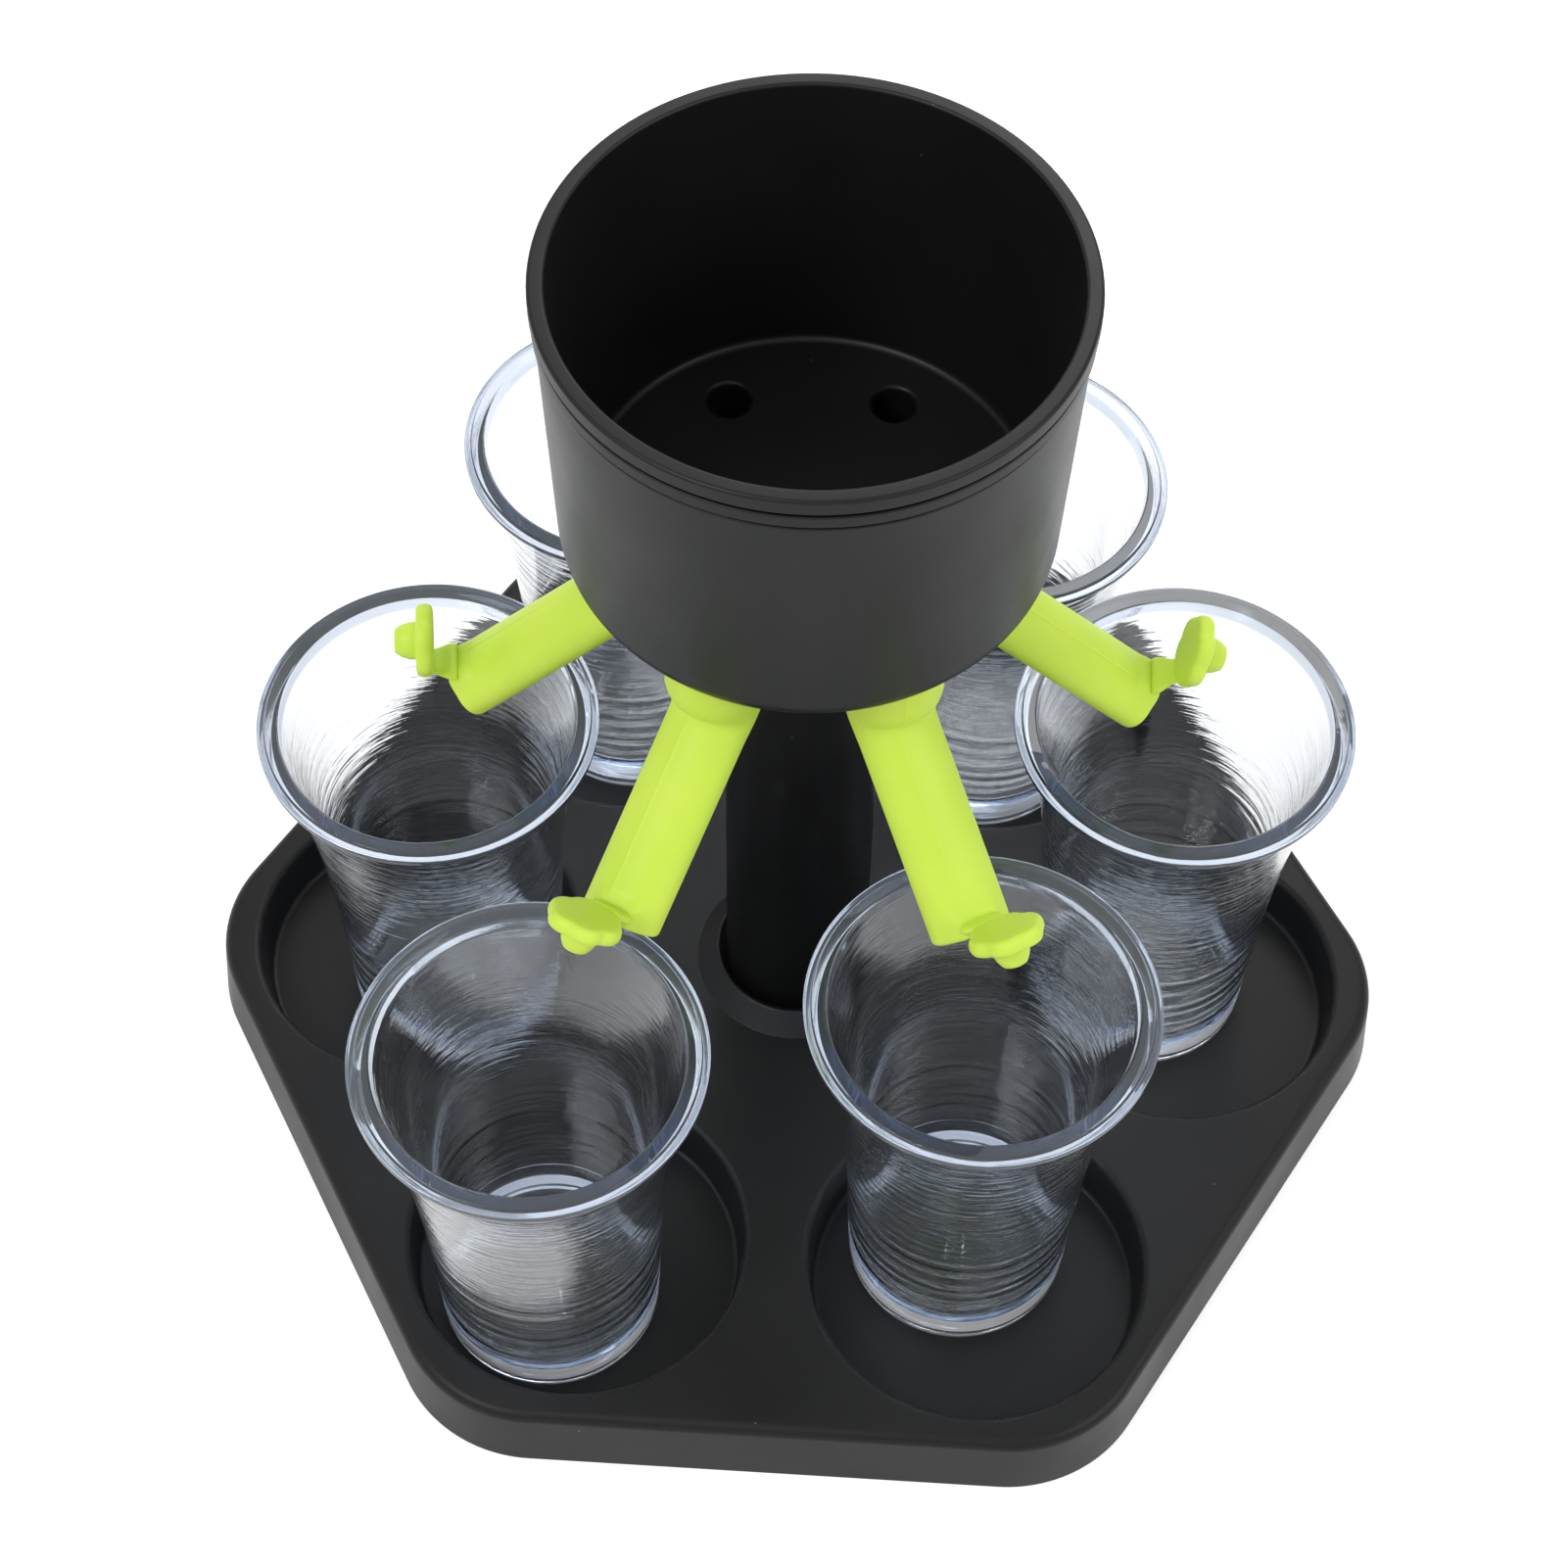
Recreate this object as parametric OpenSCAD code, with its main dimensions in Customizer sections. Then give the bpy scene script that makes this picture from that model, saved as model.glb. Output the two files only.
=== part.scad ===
// Party shot dispenser: a bowl on a post feeds six silicone spouts over six cups on a
// hexagonal tray. Millimetres, +Z up. The origin is the bottom centre of the tray, and a
// flat side of the tray faces -Y. Spout, strap, plug and cup 1 point along +X, and the
// others follow anticlockwise every 60 degrees.

/* [Tray] */
// Width of the tray across its flats, at the table
tray_flats = 165.5; // [163:0.5:172]
// Height of the tray's top face
tray_h = 12.6; // [12:0.2:14]
// Radius of the tray's rounded corners, at the table
tray_corner_r = 22.4; // [19:0.2:24]
// How far the skirt leans in from the table to the top
tray_draft = 1.1; // [0.6:0.1:1.6]
// Radius that rounds the tray's top edge
tray_edge_r = 1.8; // [1:0.1:2.2]
// Wall thickness of the tray
tray_wall = 2.2; // [1.8:0.1:2.4]
// Distance from the tray's centre to the centre of a cup pocket
pocket_ring_r = 60; // [59.5:0.1:61]
// Radius of a cup pocket just below its rounded lip
pocket_r = 25.3; // [25:0.1:26]
// Depth of a cup pocket
pocket_depth = 8.4; // [8:0.1:8.8]
// Radius of the conical collar round the post, at the tray's top face
collar_r = 15.5; // [15:0.1:17]
// Height of the conical collar
collar_h = 3.2; // [2.6:0.1:3.6]

/* [Post] */
// Radius of the post
post_r = 11; // [10.5:0.1:11.5]
// Height of the shoulder that the bowl sits on
post_top = 112; // [111:0.5:112.5]
// Radius of the spigot on top of the post
spigot_r = 8.9; // [8.5:0.1:9.2]
// Height of the spigot
spigot_h = 8; // [6:0.5:8.2]

/* [Bowl] */
// How far the bowl and its spouts are turned on the tray, in degrees
head_turn = 2; // [-6:0.5:6]
// Height of the bowl's underside
bowl_bottom = 122; // [122:0.2:124]
// Height of the bowl's rim
bowl_top = 169.4; // [166:0.2:174]
// Outer radius of the bowl's rim
rim_r = 35; // [34.6:0.1:35.6]
// Outer radius of the bowl just under the rim bands
bowl_top_r = 34.4; // [34:0.1:34.5]
// Outer radius of the bowl at its floor
bowl_base_r = 32.4; // [32:0.1:33.2]
// Wall thickness of the bowl
bowl_wall = 2; // [1.8:0.1:2.2]
// Distance from the bowl's centre to the centre of each outlet
outlet_r = 22.3; // [22:0.1:23]
// Radius of each outlet hole
hole_r = 2.85; // [2.7:0.05:2.9]

/* [Spouts] */
// Angle between a spout's tube and the vertical, in degrees
spout_tilt = 48.4; // [47.6:0.1:49.6]
// Distance of the mouth's centre from the bowl's centre line
mouth_r = 47.1; // [46.5:0.1:47.6]
// Height of the mouth's centre
mouth_z = 86.9; // [86:0.1:87.6]
// Half width of the tube, across the spout
tube_a = 5.7; // [5.5:0.1:5.8]
// Half thickness of the tube, from its top to its underside
tube_b = 4; // [3.9:0.1:4.2]
// Radius of the bend's centre line
bend_r = 8; // [7:0.5:9]
// Radius of the bore
bore_r = 3; // [2.9:0.05:3.1]
// Outer radius of the sleeve that grips the bowl's nipple
sleeve_r = 5.8; // [5.6:0.05:6]
// Turn of each spout on its nipple, in degrees
spout_turn = [-2.6, 0, 0, 4.5, -0.6, -0.5];

/* [Plugs] */
// Distance from the tube's axis to the centre of a plug that is laid out flat
plug_reach = 13; // [13:0.1:13.6]
// Length of the strap between its two fold lines
strap_len = 3.2; // [3:0.1:3.2]
// Width of the strap
strap_w = 4.6; // [4:0.1:5]
// Radius of the flower-shaped disc over its petals
disc_r = 5.35; // [5.2:0.05:5.5]
// Thickness of the disc
disc_h = 2.4; // [2.4:0.1:3.2]
// Length of the stem that closes the mouth
stem_h = 3; // [2.8:0.1:3.2]
// Radius of the stem
stem_r = 2.6; // [2.5:0.05:2.65]
// Bend of each strap at the spout's lip, towards closed, in degrees
lip_bend = [20, 0, 0, 45, -10, -5];
// Bend of each strap at the plug, towards closed, in degrees
plug_bend = [-45, 0, 0, -89, 20, 12];

/* [Cups] */
// Height of a cup
cup_h = 71.2; // [68:0.1:71.4]
// Radius of a cup's foot
cup_base_r = 16.35; // [16:0.05:16.6]
// Radius of a cup over its rolled rim
cup_rim_r = 24.6; // [24:0.1:24.8]
// Wall thickness of a cup
cup_wall = 1.7; // [1.4:0.1:2]
// Thickness of a cup's base
cup_base_h = 6; // [4:0.5:8]
// Where each cup stands in its pocket, from the pocket's centre along X
cup_shift_x = [-5, -1.9, 0, 6.2, -3.8, -2.8];
// Where each cup stands in its pocket, from the pocket's centre along Y
cup_shift_y = [4.6, -3.9, 0, -2.2, -4.5, 7.2];

/* [Hidden] */

count = 6;
step = 360 / count;
eps = 0.1;
fine = 96;

plastic = [0.12, 0.12, 0.125];
lime = [0.72, 0.88, 0.22];
clear = [0.82, 0.88, 0.95, 0.4];

// Tray: the corners' centres, the pocket floor and the socket for the post
corner_ring_r = (tray_flats / 2 - tray_corner_r) / cos(step / 2);
pocket_floor = tray_h - pocket_depth;
pocket_draft = 1;
pocket_lip = 1.1;
collar_top_r = 12.3;
collar_sink = 1.4;
turn_gap = 0.08;
socket_wall = 2.3;
socket_floor = 2.4;
socket_skin = 1.2;

// Bowl: the rim is two bands over two fine grooves
bowl_floor = bowl_bottom + 1.9;
bowl_corner = 1.5;
floor_fillet = 1.2;
rim_lip = 0.5;
rim_wall = 2.2;
band_h = 2.4;
band_2_h = 1.9;
groove_h = 0.7;
groove_depth = 0.9;
boss_r = 13;
boss_gap = 0.08;
bore_roof = 0.6;
nipple_r = 3.9;
nipple_h = 7;
hole_bevel = 0.7;

// Spouts: the sleeve runs straight down, the bend leads into the straight tube
rise = (mouth_r - outlet_r) / tan(spout_tilt);
bend_run = bend_r * tan(spout_tilt / 2);
bend_z = mouth_z + rise + bend_run;
tube_len = (mouth_r - outlet_r) / sin(spout_tilt) - bend_run;
sleeve_gap = 0.05;
sleeve_clear = 0.2;
bend_bore_r = bore_r - 0.1;
oval_sides = 32;

// Straps and plugs: the two fold lines are set so that a closed plug is centred on the
// mouth with its disc flat on the lip
fold_a = (plug_reach - strap_len) / 2;
fold_b = (plug_reach + strap_len) / 2;
fold_z = strap_len / 2;
bead_r = 0.75;
bead_gap = 0.05;
web_h = 0.9;
lug_h = 1.5;
lug_back = 0.55;
petals = 6;
petal_r = 2.8;
petal_ring_r = disc_r - petal_r;

// Cups: the wall leans out slowly, then flares below the rolled rim
cup_lean = 2.8;
cup_flare = 4.2;
cup_foot = 0.9;
lip_h = 2.7;
lip_w = 3.2;
cup_steps = 10;

function oval(a, b, n) = [for (i = [0:n - 1]) [a * cos(i * 360 / n), b * sin(i * 360 / n)]];

// Quarter-round corner from one direction to another, about a centre
function arc(c, r, from, to, n) =
    [for (i = [0:n]) let (t = from + (to - from) * i / n) c + r * [cos(t), sin(t)]];

// Outer radius of a cup's wall at a share of its height
function cup_r(t) = cup_base_r + cup_lean * t + cup_flare * pow(t, 4);

module ring(i) rotate([0, 0, step * i]) children();
module head(i) rotate([0, 0, head_turn]) ring(i) children();

// Frame of a spout: on the line of its outlet, turned with the spout
module nipple_frame(i) head(i) translate([outlet_r, 0, 0]) rotate([0, 0, spout_turn[i]]) children();

// Frame of a spout's mouth: X from the tube's axis to the strap, Z back up the tube
module mouth(i)
    nipple_frame(i) translate([mouth_r - outlet_r, 0, mouth_z]) rotate([0, -spout_tilt, 0]) children();

// Frame of a strap, with the fold at the lip as its origin
module strap_frame(i) mouth(i) translate([fold_a, 0, fold_z]) rotate([0, lip_bend[i], 0]) children();

// Frame of a plug: as the mouth's frame, carried along by the bent strap
module plug_frame(i)
    strap_frame(i) translate([strap_len, 0, 0]) rotate([0, plug_bend[i], 0])
        translate([-fold_b, 0, -fold_z]) children();

module across(r, w) rotate([90, 0, 0]) cylinder(r = r, h = w, center = true, $fn = 48);

// --- Tray ---

module tray_corner(inset, top)
    rotate_extrude($fn = 72)
        polygon(concat(
            [[0, 0], [tray_corner_r - inset, 0]],
            arc([tray_corner_r - tray_draft - inset - tray_edge_r, top - tray_edge_r], tray_edge_r, 4, 90, 4),
            [[0, top]]));

module tray_block(inset, top)
    hull()
        for (i = [0:count - 1])
            ring(i) translate([corner_ring_r, 0, 0]) tray_corner(inset, top);

module pocket_cut()
    rotate_extrude($fn = fine)
        polygon(concat(
            [[0, pocket_floor], [pocket_r - pocket_draft, pocket_floor], [pocket_r, tray_h - pocket_lip]],
            arc([pocket_r + pocket_lip, tray_h - pocket_lip], pocket_lip, 165, 90, 4),
            [[pocket_r + pocket_lip, tray_h + eps], [0, tray_h + eps]]));

module tray_hollow()
    difference() {
        translate([0, 0, -eps]) tray_block(tray_wall, tray_h - tray_wall + eps);
        for (i = [0:count - 1])
            ring(i) translate([pocket_ring_r, 0, pocket_floor - tray_wall])
                cylinder(r = pocket_r + tray_wall, h = tray_h, $fn = fine);
        translate([0, 0, socket_floor - socket_skin])
            cylinder(r = post_r + socket_wall, h = tray_h, $fn = fine);
    }

module tray_collar()
    rotate_extrude($fn = fine)
        polygon([
            [post_r + 1, tray_h - eps], [collar_r, tray_h - eps], [collar_r, tray_h],
            [collar_top_r, tray_h + collar_h], [post_r + 1, tray_h + collar_h]]);

module socket_cut()
    rotate_extrude($fn = fine)
        polygon([
            [0, socket_floor], [post_r + turn_gap, socket_floor],
            [post_r + turn_gap, tray_h + collar_h - collar_sink],
            [collar_top_r - 0.1, tray_h + collar_h],
            [collar_top_r - 0.1, tray_h + collar_h + eps], [0, tray_h + collar_h + eps]]);

module tray()
    color(plastic)
        difference() {
            union() {
                tray_block(0, tray_h);
                tray_collar();
            }
            tray_hollow();
            for (i = [0:count - 1])
                ring(i) translate([pocket_ring_r, 0, 0]) pocket_cut();
            socket_cut();
        }

// --- Post ---

module post()
    color(plastic)
        rotate_extrude($fn = fine)
            polygon([
                [post_r - bowl_wall, socket_floor], [post_r, socket_floor], [post_r, post_top],
                [spigot_r, post_top], [spigot_r, post_top + spigot_h - 0.6],
                [spigot_r - 0.6, post_top + spigot_h], [0, post_top + spigot_h],
                [0, post_top + spigot_h - bowl_wall],
                [spigot_r - bowl_wall, post_top + spigot_h - bowl_wall],
                [spigot_r - bowl_wall, post_top - bowl_wall],
                [post_r - bowl_wall, post_top - bowl_wall]]);

// --- Bowl ---

module bowl_shell()
    rotate_extrude($fn = fine)
        polygon(concat(
            [[0, bowl_bottom]],
            arc([bowl_base_r - bowl_corner, bowl_bottom + bowl_corner], bowl_corner, -90, 0, 4),
            [
                [bowl_top_r, bowl_top - band_h - band_2_h - 2 * groove_h],
                [rim_r - groove_depth, bowl_top - band_h - band_2_h - 2 * groove_h],
                [rim_r - groove_depth, bowl_top - band_h - band_2_h - groove_h],
                [rim_r - 0.2, bowl_top - band_h - band_2_h - groove_h],
                [rim_r - 0.2, bowl_top - band_h - groove_h],
                [rim_r - groove_depth, bowl_top - band_h - groove_h],
                [rim_r - groove_depth, bowl_top - band_h],
                [rim_r, bowl_top - band_h]
            ],
            arc([rim_r - rim_lip, bowl_top - rim_lip], rim_lip, 0, 90, 3),
            arc([rim_r - rim_wall + rim_lip, bowl_top - rim_lip], rim_lip, 90, 180, 3),
            arc([bowl_base_r - bowl_wall - floor_fillet, bowl_floor + floor_fillet], floor_fillet, 0, -90, 4),
            [[0, bowl_floor]]));

module bowl_boss()
    difference() {
        translate([0, 0, post_top])
            cylinder(r = boss_r, h = bowl_bottom - post_top + eps, $fn = fine);
        translate([0, 0, post_top - eps])
            cylinder(r = spigot_r + boss_gap, h = spigot_h + bore_roof + eps, $fn = fine);
    }

module nipple()
    translate([0, 0, bowl_bottom - nipple_h]) cylinder(r = nipple_r, h = nipple_h + eps, $fn = 48);

module outlet_cut() {
    translate([0, 0, bowl_bottom - nipple_h - eps])
        cylinder(r = hole_r, h = nipple_h + bowl_floor - bowl_bottom + 2 * eps, $fn = 48);
    translate([0, 0, bowl_floor - hole_bevel])
        cylinder(r1 = hole_r, r2 = hole_r + hole_bevel + eps, h = hole_bevel + eps, $fn = 48);
}

module bowl()
    color(plastic)
        difference() {
            union() {
                bowl_shell();
                bowl_boss();
                for (i = [0:count - 1])
                    head(i) translate([outlet_r, 0, 0]) nipple();
            }
            for (i = [0:count - 1])
                head(i) translate([outlet_r, 0, 0]) outlet_cut();
        }

// --- Spouts ---

// Part of a ring in the spout's own plane, from the sleeve's end to the tube's start
module bend()
    translate([bend_r, 0, 0]) rotate([90, 0, 0]) rotate([0, 0, 180])
        rotate_extrude(angle = spout_tilt, $fn = fine) translate([bend_r, 0]) children();

module spout_body(i) {
    nipple_frame(i) translate([0, 0, bend_z]) {
        cylinder(r = sleeve_r, h = bowl_bottom - bend_z, $fn = 64);
        bend() polygon(oval(tube_b, tube_a, oval_sides));
    }
    mouth(i) {
        linear_extrude(tube_len) polygon(oval(tube_b, tube_a, oval_sides));
        translate([bore_r + 0.4, -strap_w / 2, fold_z - lug_h / 2])
            cube([fold_a - lug_back - bore_r - 0.4, strap_w, lug_h]);
    }
}

module spout_bore(i) {
    nipple_frame(i) translate([0, 0, bend_z]) {
        translate([0, 0, bowl_bottom - bend_z - nipple_h - sleeve_clear])
            cylinder(r = nipple_r + sleeve_gap, h = nipple_h + sleeve_clear + eps, $fn = 48);
        cylinder(r = bore_r, h = bowl_bottom - bend_z - nipple_h, $fn = 48);
        bend() circle(r = bend_bore_r, $fn = 48);
    }
    mouth(i) {
        translate([0, 0, -eps]) cylinder(r = bore_r, h = tube_len + eps, $fn = 48);
        translate([fold_a, 0, fold_z]) across(bead_r + bead_gap, 4 * tube_a);
    }
}

module spout(i)
    color(lime)
        difference() {
            spout_body(i);
            spout_bore(i);
        }

// --- Straps and plugs ---

module strap(i)
    color(lime)
        strap_frame(i) {
            across(bead_r, strap_w);
            translate([strap_len, 0, 0]) across(bead_r, strap_w);
            translate([0, -strap_w / 2, -web_h / 2]) cube([strap_len, strap_w, web_h]);
        }

module flower()
    for (k = [0:petals - 1])
        rotate([0, 0, (k + 0.5) * 360 / petals]) translate([petal_ring_r, 0]) circle(r = petal_r, $fn = 32);

module plug_body() {
    translate([plug_reach, 0, 0]) {
        linear_extrude(disc_h) flower();
        cylinder(r = petal_ring_r + petal_r / 2, h = disc_h, $fn = 48);
        rotate_extrude($fn = 48)
            polygon([
                [0, -stem_h], [1.5, -stem_h], [2.0, -stem_h + 0.5], [2.35, -stem_h + 1.3],
                [stem_r, -1], [stem_r, eps], [0, eps]]);
    }
    translate([fold_b + lug_back, -strap_w / 2, fold_z - lug_h / 2])
        cube([disc_r / 2, strap_w, lug_h]);
}

module plug(i)
    color(lime)
        plug_frame(i)
            difference() {
                plug_body();
                translate([0, -disc_r, -eps]) cube([fold_b + lug_back, 2 * disc_r, disc_h + 2 * eps]);
                translate([fold_b, 0, fold_z]) across(bead_r + bead_gap, 4 * disc_r);
            }

// --- Cups ---

module cup_shape()
    rotate_extrude($fn = fine)
        polygon(concat(
            [[0, 0], [cup_base_r - cup_foot, 0]],
            [for (k = [0:cup_steps])
                let (z = cup_foot + (cup_h - lip_h - cup_foot) * k / cup_steps) [cup_r(z / cup_h), z]],
            [[cup_rim_r - 0.2, cup_h - 1.2]],
            arc([cup_rim_r - 0.7, cup_h - 0.7], 0.7, 0, 90, 3),
            arc([cup_rim_r - lip_w + 0.7, cup_h - 0.7], 0.7, 90, 170, 3),
            [for (k = [cup_steps:-1:0])
                let (z = cup_base_h + 1.5 + (cup_h - lip_h - cup_base_h - 1.5) * k / cup_steps)
                    [cup_r(z / cup_h) - cup_wall, z]],
            [[cup_base_r - cup_wall - 1.8, cup_base_h], [0, cup_base_h]]));

module cup(i)
    color(clear)
        ring(i) translate([pocket_ring_r, 0, pocket_floor]) rotate([0, 0, -step * i])
            translate([cup_shift_x[i], cup_shift_y[i], 0]) cup_shape();

tray();
post();
bowl();
spout(0);  // spout_1
spout(1);  // spout_2
spout(2);  // spout_3
spout(3);  // spout_4
spout(4);  // spout_5
spout(5);  // spout_6
strap(0);  // strap_1
strap(1);  // strap_2
strap(2);  // strap_3
strap(3);  // strap_4
strap(4);  // strap_5
strap(5);  // strap_6
plug(0);  // plug_1
plug(1);  // plug_2
plug(2);  // plug_3
plug(3);  // plug_4
plug(4);  // plug_5
plug(5);  // plug_6
cup(0);  // cup_1
cup(1);  // cup_2
cup(2);  // cup_3
cup(3);  // cup_4
cup(4);  // cup_5
cup(5);  // cup_6
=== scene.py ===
import math

import bmesh
import bpy
from mathutils import Matrix, Vector, geometry


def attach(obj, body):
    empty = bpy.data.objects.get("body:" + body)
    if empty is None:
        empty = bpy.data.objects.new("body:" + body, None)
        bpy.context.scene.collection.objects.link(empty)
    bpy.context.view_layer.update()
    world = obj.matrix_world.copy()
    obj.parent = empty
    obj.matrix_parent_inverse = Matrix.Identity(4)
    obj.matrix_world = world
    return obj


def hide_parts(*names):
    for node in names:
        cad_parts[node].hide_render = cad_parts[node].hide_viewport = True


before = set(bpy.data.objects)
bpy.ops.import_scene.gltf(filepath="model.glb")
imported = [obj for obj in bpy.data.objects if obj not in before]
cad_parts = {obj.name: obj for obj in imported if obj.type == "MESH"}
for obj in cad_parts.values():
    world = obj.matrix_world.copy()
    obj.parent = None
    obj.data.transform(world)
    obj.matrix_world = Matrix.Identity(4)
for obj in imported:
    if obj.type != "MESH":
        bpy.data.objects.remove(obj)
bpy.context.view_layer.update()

# Looks of a party shot dispenser: a bowl on a post, with six silicone spouts and their
# plugs, over six clear cups on a hexagonal tray. Shapes are written in millimetres in the
# frame of the CAD part, and become metres when a mesh is made.

MM = 0.001
COUNT = 6
STEP = 360 / COUNT
# Sides of a round form, large or small
FINE = 128
COARSE = 48
# Angle over which an edge stays sharp, in degrees
SHARP = 35
# Reach of an outline's end point that only gives its next round a direction, and isn't built
LEAD = 1

# Tray
TRAY_FLATS = 165.5
TRAY_H = 12.6
TRAY_CORNER_R = 22.4
TRAY_DRAFT = 1.1
TRAY_EDGE_R = 1.8
TRAY_WALL = 2.2
TRAY_FOOT_ROUND = 0.4
TRAY_CORNER_SIDES = 24
CORNER_RING_R = (TRAY_FLATS / 2 - TRAY_CORNER_R) / math.cos(math.radians(STEP / 2))
POCKET_RING_R = 60
POCKET_R = 25.3
POCKET_FLOOR = 4.2
POCKET_FLOOR_R = 24.3
POCKET_LIP = 1.1
POCKET_FILLET = 0.8
POCKET_UNDER_R = 26.8
COLLAR_R = 15.5
COLLAR_TOP_R = 12.3
COLLAR_H = 3.2
COLLAR_SINK = 1.4
COLLAR_FOOT_ROUND = 0.25
COLLAR_TOP_ROUND = 0.5
COLLAR_EDGE = 0.1
SOCKET_R = 11.08
SOCKET_FLOOR = 2.4
SOCKET_UNDER = 1.2
SOCKET_UNDER_R = 13.3

# Post
POST_R = 11
POST_TOP = 112
SPIGOT_R = 8.9
SPIGOT_H = 8
POST_ROUND = 0.4
SPIGOT_ROUND = 0.6

# Bowl
HEAD_TURN = 2
BOWL_BOTTOM = 122
BOWL_FLOOR = 123.9
BOWL_TOP = 169.4
RIM_R = 35
RIM_WALL = 2.2
RIM_ROUND = 0.5
BAND_H = 2.4
BAND_2_H = 1.9
BAND_2_SET_BACK = 0.2
BAND_ROUND = 0.25
GROOVE_ROUND = 0.1
GROOVE_H = 0.7
GROOVE_DEPTH = 0.9
BOWL_TOP_R = 34.4
BOWL_BASE_R = 32.9
BOWL_WALL = 2
BOWL_CORNER = 4.4
FLOOR_FILLET = 1.2
OUTLET_R = 22.3
HOLE_R = 2.85
HOLE_BEVEL = 0.7
NIPPLE_R = 3.9
NIPPLE_H = 7
BOSS_R = 13
BOSS_BORE_R = 8.98
BOSS_BORE_TOP = 120.6

# Spouts
SPOUT_TILT = 48.4
# Turn of each spout off the bowl's radius, in degrees
SPOUT_TURN = [-2.6, 0, 0, 4.5, -0.6, -0.5]
MOUTH_R = 47.1
MOUTH_Z = 86.9
# Half widths of the oval tube, across the plane of its bend and in it
TUBE_A = 5.7
TUBE_B = 4
BEND_R = 8
BORE_R = 3
SLEEVE_R = 6.8
SLEEVE_OUT = 0.8
LIP_ROUND = 0.7
SEAM_ANGLE = -15
SEAM_H = 0.1
SEAM_HALF_ANGLE = 2
SPOUT_SIDES = 64
SLEEVE_BLEND_FROM = 3
SLEEVE_BLEND_PAST = 1
BORE_LIP = 0.3
# Rows of points along the tube, over the lug, round the lip and back up the bore
TUBE_ROWS = 40
LUG_ROWS = 16
LIP_ROWS = 5
BORE_ROWS = 29
TILT = math.radians(SPOUT_TILT)
BEND_RUN = BEND_R * math.tan(TILT / 2)
BEND_Z = MOUTH_Z + (MOUTH_R - OUTLET_R) / math.tan(TILT) + BEND_RUN
TUBE_LEN = (MOUTH_R - OUTLET_R) / math.sin(TILT) - BEND_RUN

# Straps and plugs
PLUG_REACH = 13
STRAP_LEN = 3.2
STRAP_LIP_W = 6
STRAP_DISC_W = 3.8
FOLD_A = (PLUG_REACH - STRAP_LEN) / 2
FOLD_B = (PLUG_REACH + STRAP_LEN) / 2
FOLD_Z = STRAP_LEN / 2
BEAD_R = 0.75
WEB_H = 1.0
STRAP_SHARP = 80
STRAP_ROWS = 26
STRAP_SIDES = 32
# Powers that square off the oval of the strap's section
STRAP_POWER_Y = 0.5
STRAP_POWER_Z = 0.7
LUG_REACH = 4.45
LUG_RUN = 1.8
LUG_START = 1.2
LUG_LEAD = 1
# How flat the lug's top is, and how fast its sides fall
LUG_SHOULDER = 2.2
LUG_FALL = 1.6
DISC_R = 5.35
DISC_H = 2.3
DISC_PUFF = 0.75
DISC_SIDES = 120
DISC_ROWS = 12
# Rings inside the flower's edge, as shares of its radius
DISC_UNDER_SHARE = 0.62
DISC_TOP_SHARES = 0.6, 0.25
PETAL_R = 2.8
PETAL_SOFTNESS = 5
PETAL_SET_BACK = 0.02
PLUG_SHARP = 60
STEM_H = 3
STEM_R = 2.6
STEM_MID_R = 2.3
STEM_TIP_R = 1.7
STEM_TOP_H = 0.9
STEM_MID_H = 1.9
FLAT_X = 4.35
# Bends of each strap at its lip and at its plug, in degrees
LIP_BEND = [20, 0, 0, 45, -10, -5]
PLUG_BEND = [-45, 0, 0, -89, 20, 12]

# Cups
CUP_H = 71.2
CUP_BASE_R = 16.35
CUP_RIM_R = 24.6
CUP_WALL = 1.7
CUP_BASE_H = 6
CUP_LEAN = 2.8
CUP_FLARE = 4.2
CUP_LIP_H = 2.7
CUP_LIP_W = 3.2
CUP_RIM_ROUND = 0.4
CUP_RIM_STEP = 0.4
CUP_STEP_IN = 1
CUP_STEP_TOP_IN = 1.2
CUP_ROLL_IN = 0.4
CUP_ROLL_FROM = 1.7
CUP_ROLL_TO = 1.2
CUP_TINT_FROM = 0.6
CUP_TINT_TO = 1.2
# How milky the plastic is at the rim and the wall, and how strongly painted light falls in the foot's milky
# bands, which stand in for light coming through the thick base; the bands are heights and shares
CUP_RIM_MILK = 0.1
CUP_FOOT_PAINTED_LIGHT = 0.9
CUP_FOOT_LIGHT_BANDS = [(0.3, 1), (1.5, 1), (1.7, 0), (2.7, 0), (2.9, 1), (6.2, 0.8), (6.6, 0)]
CUP_WALL_MILK = 0, 0.02
# Heights of the rings round the base
CUP_BASE_LINES = [6.9, 8.6, 10.6, 12.8, 15.4, 18.4, 22, 26]
CUP_LINE_DEPTH = 0.18
CUP_LINE_W = 0.35
CUP_WALL_FROM = 1.4
CUP_FOOT_EDGE = 0.3
CUP_FOOT_IN = 2.7
CUP_RECESS_IN = 3.2
CUP_RECESS = 0.6
CUP_GATE_R = 1.1
CUP_GATE_H = 0.35
CUP_GATE_SLOPE = 0.3
CUP_FLOOR_FILLET = 2
CUP_FLOOR_IN = 2.5
CUP_RIPPLE = 0.1
CUP_RIPPLE_RINGS = 3
CUP_SHARP = 50
# Rows of points up the wall, down its inside and over the floor
CUP_ROWS = 96
CUP_INNER_ROWS = 40
CUP_FLOOR_ROWS = 30
# Where each cup stands from its pocket's centre
CUP_SHIFT_X = [-5, -1.9, 0, 6.2, -3.8, -2.8]
CUP_SHIFT_Y = [4.6, -3.9, 0, -2.2, -4.5, 7.2]

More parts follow.
